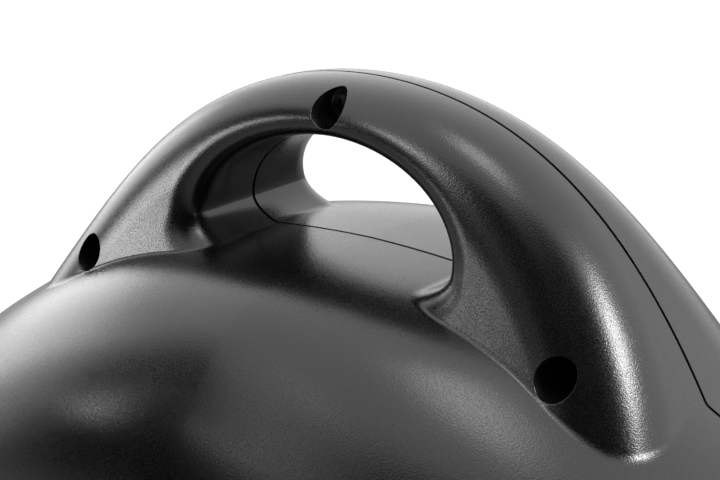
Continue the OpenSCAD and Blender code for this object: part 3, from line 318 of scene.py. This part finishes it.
def half_casing():
    """The skin as a bmesh, cut on a plane just short of the seam."""
    p, quads = casing_skin()
    used = np.unique(quads)
    index = np.full(len(p), -1)
    index[used] = np.arange(len(used))
    mesh = bpy.data.meshes.new("skin")
    mesh.from_pydata(p[used].tolist(), [], index[quads].tolist())
    bm = bmesh.new()
    bm.from_mesh(mesh)
    bpy.data.meshes.remove(mesh)
    refine_creases(bm)
    bmesh.ops.bisect_plane(bm, geom=bm.verts[:] + bm.edges[:] + bm.faces[:], dist=SEAM_SNAP,
                           plane_co=(0, SEAM_Y, 0), plane_no=(0, 1, 0), clear_outer=True)
    on_seam = [v for v in bm.verts if abs(v.co.y - SEAM_Y) < SEAM_SNAP + 0.01]
    q = places_of(on_seam)
    q[:, 1] = SEAM_Y
    move_to(on_seam, onto_casing(q, 4, fixed=(1,)))
    return bm


# ---------------------------------------------------------------- screw wells and seam
def split_at_rim(edge, level, distance):
    """Splits an edge that crosses a round rim, at the rim, and returns the new vertex."""
    a, b = edge.verts
    lo, hi = 0.0, 1.0
    for _ in range(30):
        m = (lo + hi) / 2
        if distance(a.co.lerp(b.co, m)) * level[a] > 0:
            lo = m
        else:
            hi = m
    return bmesh.utils.edge_split(edge, a, lo)[1]


def cut_round(bm, cx, cz, r):
    """Opens a round hole of radius r along Y in the skin, and returns its rim in order."""
    def distance(co):
        return math.hypot(co.x - cx, co.z - cz) - r

    reach = r + 6
    near = [v for v in bm.verts
            if abs(v.co.x - cx) < reach and abs(v.co.z - cz) < reach and v.co.y < -WELL_FLOOR]
    level = {v: distance(v.co) for v in near}
    for v in near:
        if abs(level[v]) < WELL_SNAP:
            k = r / (level[v] + r)
            v.co = (cx + (v.co.x - cx) * k, v.co.y, cz + (v.co.z - cz) * k)
            level[v] = 0.0
    edges = dict.fromkeys(e for v in near for e in v.link_edges if all(w in level for w in e.verts))
    for e in edges:
        a, b = e.verts
        if level[a] * level[b] < 0:
            level[split_at_rim(e, level, distance)] = 0.0
    faces = dict.fromkeys(f for v in level for f in v.link_faces if all(w in level for w in f.verts))
    for f in faces:
        on = [v for v in f.verts if level[v] == 0.0]
        signs = {level[v] > 0 for v in f.verts if level[v] != 0.0}
        if len(on) == 2 and len(signs) == 2 and not bm.edges.get(on):
            bmesh.utils.face_split(f, on[0], on[1])
    bmesh.ops.delete(bm, geom=[v for v in level if level[v] < 0], context="VERTS")
    rim = [v for v in level
           if v.is_valid and level[v] == 0.0 and v.link_faces and any(e.is_boundary for e in v.link_edges)]
    move_to(rim, onto_casing(places_of(rim), 6, fixed=(0, 2)))
    rim.sort(key=lambda v: math.atan2(v.co.z - cz, v.co.x - cx))
    return rim


def add_ring(bm, old, places):
    """New ring of vertices beyond old, a closed loop, with faces that continue the skin."""
    new = [bm.verts.new(p) for p in places]
    for i in range(len(old)):
        j = (i + 1) % len(old)
        e = bm.edges.get((old[i], old[j]))
        if e and e.link_loops and e.link_loops[0].vert == old[i]:
            bm.faces.new([old[j], old[i], new[i], new[j]])
        else:
            bm.faces.new([old[i], old[j], new[j], new[i]])
    return new


def add_well(bm, cx, cz):
    """Screw well at cx, cz: a rounded lip, a straight bore, a floor and the screw's hole in it."""
    rim = cut_round(bm, cx, cz, WELL_R + WELL_LIP)
    q = places_of(rim)
    g = gradient(q)
    angle = np.arctan2(q[:, 2] - cz, q[:, 0] - cx)
    ways = np.stack([np.cos(angle), np.sin(angle)], 1)

    def ring_places(radius, y):
        return np.stack([cx + radius * ways[:, 0], y, cz + radius * ways[:, 1]], 1).tolist()

    slope = -(g[:, 0] * ways[:, 0] + g[:, 2] * ways[:, 1]) / np.minimum(g[:, 1], -0.3)
    lip_y = q[:, 1] - np.clip(WELL_LIP * slope, -2.0, 2.0)
    bore_y = lip_y + WELL_LIP
    ring = rim
    for t in (0.25, 0.5, 0.75, 1.0):
        a, b, c = (1 - t) ** 2, 2 * t * (1 - t), t * t
        radius = a * (WELL_R + WELL_LIP) + (b + c) * WELL_R
        ring = add_ring(bm, ring, ring_places(radius, a * q[:, 1] + b * lip_y + c * bore_y))
    for t in (0.15, 0.5, 0.85, 1.0):
        ring = add_ring(bm, ring, ring_places(WELL_R, bore_y + (-WELL_FLOOR - 0.5 - bore_y) * t))
    floor = [(WELL_R - 0.5, 0), (0.6 * WELL_R, 0), (WELL_HOLE_R, 0), (WELL_HOLE_R, WELL_HOLE_L)]
    for radius, beyond in floor:
        y = np.full(len(ring), beyond - WELL_FLOOR)
        ring = add_ring(bm, ring, ring_places(radius, y))


def add_seam_lip(bm):
    """Rounds the skin into the seam's groove, and gives the wall its thickness there."""
    edges = [e for e in bm.edges if e.is_boundary and all(abs(v.co.y - SEAM_Y) < 1e-3 for v in e.verts)]
    loops = [(e.link_loops[0].vert, e.link_loops[0].link_loop_next.vert) for e in edges]
    verts = list(dict.fromkeys(v for pair in loops for v in pair))
    q = places_of(verts)
    g = gradient(q)
    g[:, 1] = 0
    g /= np.linalg.norm(g, axis=1)[:, None]
    turns = np.radians([22.5, 45, 67.5, 90])
    path = [(SEAM_R * (1 - math.cos(t)), SEAM_Y + SEAM_R * math.sin(t)) for t in turns]
    path += [(SEAM_DEPTH, -SEAM_HALF), (SEAM_DEPTH + 0.1, -SEAM_SHUT), (WALL - 0.2, -SEAM_SHUT)]
    path += [(WALL, y) for y in INSIDE_Y]
    old = {v: v for v in verts}
    for sink, y in path:
        places = q - g * sink
        places[:, 1] = y
        new = {v: bm.verts.new(c) for v, c in zip(verts, places.tolist())}
        for a, b in loops:
            bm.faces.new([old[b], old[a], new[a], new[b]])
        old = new


# ---------------------------------------------------------------- the two half casings
def true_normals(mesh):
    """Gives the mesh, in metres, the exact normals of the form where it lies on the form."""
    count = len(mesh.vertices) * 3
    places, normals = np.empty(count), np.empty(count)
    mesh.vertices.foreach_get("co", places)
    mesh.vertices.foreach_get("normal", normals)
    p, normals = places.reshape(-1, 3) / MM, normals.reshape(-1, 3)
    on = np.abs(casing_depth(*p.T)) < ON_SKIN
    g = gradient(p[on])
    normals[on] = g / np.linalg.norm(g, axis=1)[:, None]
    mesh.normals_split_custom_set_from_vertices(normals.tolist())


def finish_shell(bm, name, node, mirrored):
    """Turns a bmesh in mm into the piece that stands for a CAD shell."""
    if mirrored:
        for v in bm.verts:
            v.co.y = -v.co.y
        bmesh.ops.reverse_faces(bm, faces=bm.faces[:])
    for v in bm.verts:
        v.co *= MM
    for f in bm.faces:
        f.smooth = True
    bm.normal_update()
    mesh = bpy.data.meshes.new(name)
    bm.to_mesh(mesh)
    bm.free()
    true_normals(mesh)
    o = bpy.data.objects.new(name, mesh)
    bpy.context.scene.collection.objects.link(o)
    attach(o, "pod")
    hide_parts(node)
    return o


def make_shells():
    """Both half casings. Only the right one, nearer the camera, has the screw wells."""
    bm = half_casing()
    left = bm.copy()
    add_seam_lip(left)
    left = finish_shell(left, "left_casing", "left_shell", True)
    for cx, cz in WELLS:
        add_well(bm, cx, cz)
    add_seam_lip(bm)
    right = finish_shell(bm, "right_casing", "right_shell", False)
    return right, left


# ---------------------------------------------------------------- camera
VIEW_AZIMUTH, VIEW_ELEVATION, VIEW_ROLL = 38.351, 17.992, -0.7589
VIEW_TARGET = (-4.402, 0.0, LEVEL_Z - 2.464)
VIEW_DISTANCE = 515.96
FOCAL_PIXELS, PICTURE_WIDTH = 1465.59, 720
SENSOR_WIDTH = 36.0


def direction(azimuth, elevation):
    """Unit vector at azimuth from -Y towards +X, and at elevation, in degrees."""
    a, e = math.radians(azimuth), math.radians(elevation)
    return Vector((math.sin(a) * math.cos(e), -math.cos(a) * math.cos(e), math.sin(e)))


def make_camera():
    """Camera at the photograph's place, turned by VIEW_ROLL about its own axis."""
    back = direction(VIEW_AZIMUTH, VIEW_ELEVATION)
    level = direction(VIEW_AZIMUTH + 90, 0)
    up = back.cross(level)
    roll = math.radians(VIEW_ROLL)
    right = level * math.cos(roll) + up * math.sin(roll)
    top = up * math.cos(roll) - level * math.sin(roll)
    data = bpy.data.cameras.new("camera")
    data.sensor_width = SENSOR_WIDTH
    data.lens = FOCAL_PIXELS / PICTURE_WIDTH * SENSOR_WIDTH
    data.clip_start = 0.01
    cam = bpy.data.objects.new("camera", data)
    cam.matrix_world = Matrix((right, top, back)).transposed().to_4x4()
    cam.location = (Vector(VIEW_TARGET) + back * VIEW_DISTANCE) * MM
    bpy.context.scene.collection.objects.link(cam)
    bpy.context.scene.camera = cam


# ---------------------------------------------------------------- shader nodes
def feed(tree, socket, value):
    """Sets a socket to a plain value, or links it where the value is another node's output."""
    if isinstance(value, bpy.types.NodeSocket):
        tree.links.new(value, socket)
    else:
        socket.default_value = value


def add_node(tree, kind, **inputs):
    """New shader node, its inputs given by name with _ for a space."""
    n = tree.nodes.new("ShaderNode" + kind)
    for name, value in inputs.items():
        feed(tree, n.inputs[name.replace("_", " ")], value)
    return n


def maths(tree, operation, *values):
    n = add_node(tree, "Math")
    n.operation = operation
    for socket, value in zip(n.inputs, values):
        feed(tree, socket, value)
    return n.outputs[0]


def map_range(tree, value, low, high, to_low, to_high, interpolation="LINEAR"):
    """Maps low to high onto to_low to to_high, and holds those limits beyond them."""
    n = add_node(tree, "MapRange", Value=value, From_Min=low, From_Max=high, To_Min=to_low, To_Max=to_high)
    n.interpolation_type = interpolation
    return n.outputs["Result"]


def new_material(name, **sockets):
    """Material, its node tree and its Principled shader with the given sockets set."""
    m = bpy.data.materials.new(name)
    m.use_nodes = True
    tree = m.node_tree
    shader = tree.nodes["Principled BSDF"]
    for socket, value in sockets.items():
        feed(tree, shader.inputs[socket.replace("_", " ")], value)
    return m, tree, shader


# ---------------------------------------------------------------- materials
def grey(value):
    return value, value, value


def surface(name, colour, roughness, tones, rough, patches, bump, spots=0.0, **sockets):
    """Material with a fine grain, and with slow changes of roughness and colour.

    colour and roughness are the plain values that show where the nodes aren't read. tones and
    rough are the limits of the changes, and patches their scale. bump is the grain's scale,
    strength and height. Scales are per metre, and spots is a fine speckle of the roughness.
    """
    m, tree, shader = new_material(name, Base_Color=(*colour, 1), Roughness=roughness, **sockets)
    at = add_node(tree, "TexCoord").outputs["Object"]

    def noise(scale, detail):
        return add_node(tree, "TexNoise", Vector=at, Scale=scale, Detail=detail).outputs["Fac"]

    fine, strength, height = bump
    grain = add_node(tree, "Bump", Strength=strength, Distance=height, Height=noise(fine, 1.0))
    gloss = map_range(tree, noise(patches, 4.0), 0.3, 0.7, *rough)
    if spots:
        speckle = map_range(tree, noise(1.7 * fine, 0.0), 0.35, 0.65, -spots, spots)
        gloss = maths(tree, "ADD", gloss, speckle)
    ramp = add_node(tree, "ValToRGB", Fac=noise(1.7 * patches, 3.0))
    for element, position, tone in zip(ramp.color_ramp.elements, (0.35, 0.65), tones):
        element.position = position
        element.color = (*tone, 1)
    feed(tree, shader.inputs["Normal"], grain.outputs["Normal"])
    feed(tree, shader.inputs["Roughness"], gloss)
    feed(tree, shader.inputs["Base Color"], ramp.outputs["Color"])
    return m


def make_materials():
    """Materials by the record's slots."""
    return {
        "shell_plastic": surface(
            "shell_black", grey(0.005), 0.3, (grey(0.003), grey(0.006)), (0.2, 0.25), 25.0,
            bump=(2000, 1.0, 0.00005), spots=0.08, Specular_IOR_Level=0.5),
        "trim_plastic": surface(
            "trim_black", (0.02, 0.02, 0.021), 0.5, ((0.017, 0.017, 0.018), (0.024, 0.024, 0.026)),
            (0.45, 0.55), 30.0, bump=(1500, 0.3, 0.0003)),
        "black_rubber": surface(
            "rubber_black", grey(0.02), 0.75, (grey(0.016), (0.028, 0.028, 0.027)), (0.7, 0.85), 40.0,
            bump=(700, 0.3, 0.0004)),
        "foam": surface(
            "foam_grey", grey(0.05), 0.9, (grey(0.03), grey(0.07)), (0.85, 0.98), 60.0,
            bump=(900, 1.0, 0.001)),
        "red_plastic": surface(
            "red_gloss", (0.5, 0.02, 0.015), 0.3, ((0.42, 0.014, 0.012), (0.52, 0.022, 0.017)),
            (0.22, 0.34), 60.0, bump=(1200, 0.06, 0.0002)),
        "black_plastic": surface(
            "black_gloss", grey(0.012), 0.3, (grey(0.01), grey(0.016)), (0.22, 0.36), 60.0,
            bump=(1300, 0.1, 0.0002)),
        "zinc_steel": surface(
            "zinc", (0.34, 0.345, 0.35), 0.35, ((0.3, 0.305, 0.31), (0.38, 0.38, 0.385)),
            (0.26, 0.42), 90.0, bump=(500, 0.12, 0.0003), Metallic=1.0),
        "black_steel": surface(
            "black_oxide", grey(0.006), 0.5, (grey(0.004), grey(0.008)), (0.45, 0.6), 90.0,
            bump=(600, 0.1, 0.0002), Metallic=0.7),
        "blade_alloy": surface(
            "alloy", (0.4, 0.405, 0.41), 0.4, ((0.36, 0.365, 0.375), (0.42, 0.425, 0.43)),
            (0.3, 0.45), 60.0, bump=(400, 0.1, 0.0003), Metallic=1.0),
        "frame_alloy": surface(
            "cast_alloy", (0.3, 0.305, 0.315), 0.6, ((0.26, 0.265, 0.27), (0.33, 0.335, 0.34)),
            (0.5, 0.65), 60.0, bump=(900, 0.5, 0.0004), Metallic=1.0),
        "lamination": surface(
            "laminated", (0.08, 0.08, 0.085), 0.5, ((0.065, 0.065, 0.07), (0.1, 0.1, 0.105)),
            (0.4, 0.6), 60.0, bump=(2500, 0.4, 0.0003), Metallic=0.8),
        "copper": surface(
            "copper_wire", (0.4, 0.15, 0.05), 0.35, ((0.33, 0.11, 0.04), (0.44, 0.175, 0.065)),
            (0.28, 0.4), 60.0, bump=(1400, 0.5, 0.0004), Metallic=0.9),
        "board_green": surface(
            "board", (0.02, 0.14, 0.06), 0.4, ((0.015, 0.11, 0.045), (0.025, 0.17, 0.07)),
            (0.3, 0.45), 90.0, bump=(1800, 0.2, 0.0002)),
        "wheel_rubber": surface(
            "wheel_grey", grey(0.045), 0.65, (grey(0.035), (0.06, 0.06, 0.058)), (0.55, 0.75), 50.0,
            bump=(600, 0.3, 0.0004)),
    }


# ---------------------------------------------------------------- stage, in metres
FLOOR_HALF = 8.0
FLOOR_GLOW = 0.6  # seen by the camera only, and makes the floor white
ROOM_GLOSS = 1.8  # strength of the room in reflections
ROOM_LIGHT = 0.5  # strength of the room's soft light

# Dark parts of the room on the camera's side, which keep the black plastic black. Each has the
# direction of its middle, the angle that is dark all over and the angle where it ends, in degrees.
DARK_LOBES = [(8, 34, 18, 30), (55, 34, 28, 40), (-57, 24, 8, 22), (-50, 8, 14, 24), (-10, -5, 26, 38),
              (45, 0, 34, 44)]

REAR_LEG = (-0.08, -0.04, 0.275)
FRONT_LEG = (0.09, -0.02, 0.27)


def background(tree, strength):
    return add_node(tree, "Background", Color=(1, 1, 1, 1), Strength=strength).outputs[0]


def mix(tree, factor, first, second):
    n = add_node(tree, "MixShader", Fac=factor)
    feed(tree, n.inputs[1], first)
    feed(tree, n.inputs[2], second)
    return n.outputs[0]


def lobe(tree, at, azimuth, elevation, inner, outer):
    """1 within inner degrees of a direction, 0 beyond outer degrees."""
    dot = add_node(tree, "VectorMath")
    dot.operation = "DOT_PRODUCT"
    feed(tree, dot.inputs[0], at)
    feed(tree, dot.inputs[1], direction(azimuth, elevation))
    low, high = math.cos(math.radians(outer)), math.cos(math.radians(inner))
    return map_range(tree, dot.outputs["Value"], low, high, 0.0, 1.0, "SMOOTHSTEP")


def make_world():
    """White for the camera, and for reflections a pale room with dark lobes."""
    world = bpy.data.worlds.new("studio")
    bpy.context.scene.world = world
    world.use_nodes = True
    tree = world.node_tree
    tree.nodes.clear()
    at = add_node(tree, "TexCoord").outputs["Generated"]
    dark = 0.0
    for shade in DARK_LOBES:
        dark = maths(tree, "MAXIMUM", dark, lobe(tree, at, *shade))
    room = maths(tree, "MULTIPLY", maths(tree, "SUBTRACT", 1.0, dark), ROOM_GLOSS)
    path = add_node(tree, "LightPath").outputs
    light = mix(tree, path["Is Glossy Ray"], background(tree, ROOM_LIGHT), background(tree, room))
    plain = maths(tree, "MAXIMUM", path["Is Camera Ray"], path["Is Transmission Ray"])
    add_node(tree, "OutputWorld", Surface=mix(tree, plain, light, background(tree, 1.0)))


def make_floor():
    """Plain white floor that keeps the object's shadow."""
    s = FLOOR_HALF
    mesh = bpy.data.meshes.new("floor")
    mesh.from_pydata([(-s, -s, 0), (s, -s, 0), (s, s, 0), (-s, s, 0)], [], [(0, 1, 2, 3)])
    floor = bpy.data.objects.new("floor", mesh)
    bpy.context.scene.collection.objects.link(floor)
    m, tree, shader = new_material(
        "floor_white", Base_Color=(0.8, 0.8, 0.8, 1), Roughness=0.9, Specular_IOR_Level=0.1,
        Emission_Color=(1, 1, 1, 1))
    seen = add_node(tree, "LightPath").outputs["Is Camera Ray"]
    feed(tree, shader.inputs["Emission Strength"], maths(tree, "MULTIPLY", seen, FLOOR_GLOW))
    mesh.materials.append(m)


def area_lamp(name, target, azimuth, elevation, distance, size, radiance, spread=180):
    """Softbox that the camera doesn't see, at a distance from target in the given direction.

    An area lamp's radiance is its energy divided by 4 times its area.
    """
    way = direction(azimuth, elevation)
    width, height = size
    data = bpy.data.lights.new(name, "AREA")
    data.shape = "RECTANGLE"
    data.size = width
    data.size_y = height
    data.energy = radiance * 4 * width * height
    data.spread = math.radians(spread)
    o = bpy.data.objects.new(name, data)
    o.location = Vector(target) + way * distance
    o.rotation_euler = way.to_track_quat("Z", "Y").to_euler()
    o.visible_camera = False
    bpy.context.scene.collection.objects.link(o)


def make_lamps():
    """Three large softboxes, and four small ones with a narrow spread, aimed at the handle."""
    area_lamp("left", REAR_LEG, -98, 11, distance=1.0, size=(0.6, 0.4), radiance=1.9)
    area_lamp("low_rear", (-0.092, -0.038, 0.268), -48, 10, distance=0.2, size=(0.1, 0.06),
              radiance=0.38, spread=34)
    area_lamp("low_front", (0.072, -0.035, 0.268), -38, 9, distance=0.2, size=(0.07, 0.05),
              radiance=0.13, spread=32)
    area_lamp("low_arch", (-0.04, -0.028, 0.308), -50, 12, distance=0.25, size=(0.1, 0.05),
              radiance=0.22, spread=30)
    area_lamp("high_arch", (0.038, -0.026, 0.312), -30, 38, distance=0.25, size=(0.08, 0.05),
              radiance=0.22, spread=34)
    area_lamp("rear", FRONT_LEG, 108, 38, distance=0.6, size=(0.18, 0.16), radiance=22.0)
    area_lamp("over", FRONT_LEG, 0, 88, distance=1.0, size=(0.3, 0.3), radiance=4.0)


# ---------------------------------------------------------------- the scene
bpy.context.scene.view_settings.view_transform = "Standard"
make_camera()
materials = make_materials()
for casing in make_shells():
    casing.data.materials.append(materials["shell_plastic"])
slot_of = {s["node"]: s["material_slot"] for s in frame["record"]["subparts"]}
for name, o in frame["nodes"].items():
    o.data.materials.clear()
    o.data.materials.append(materials[slot_of[name]])
make_world()
make_floor()
make_lamps()
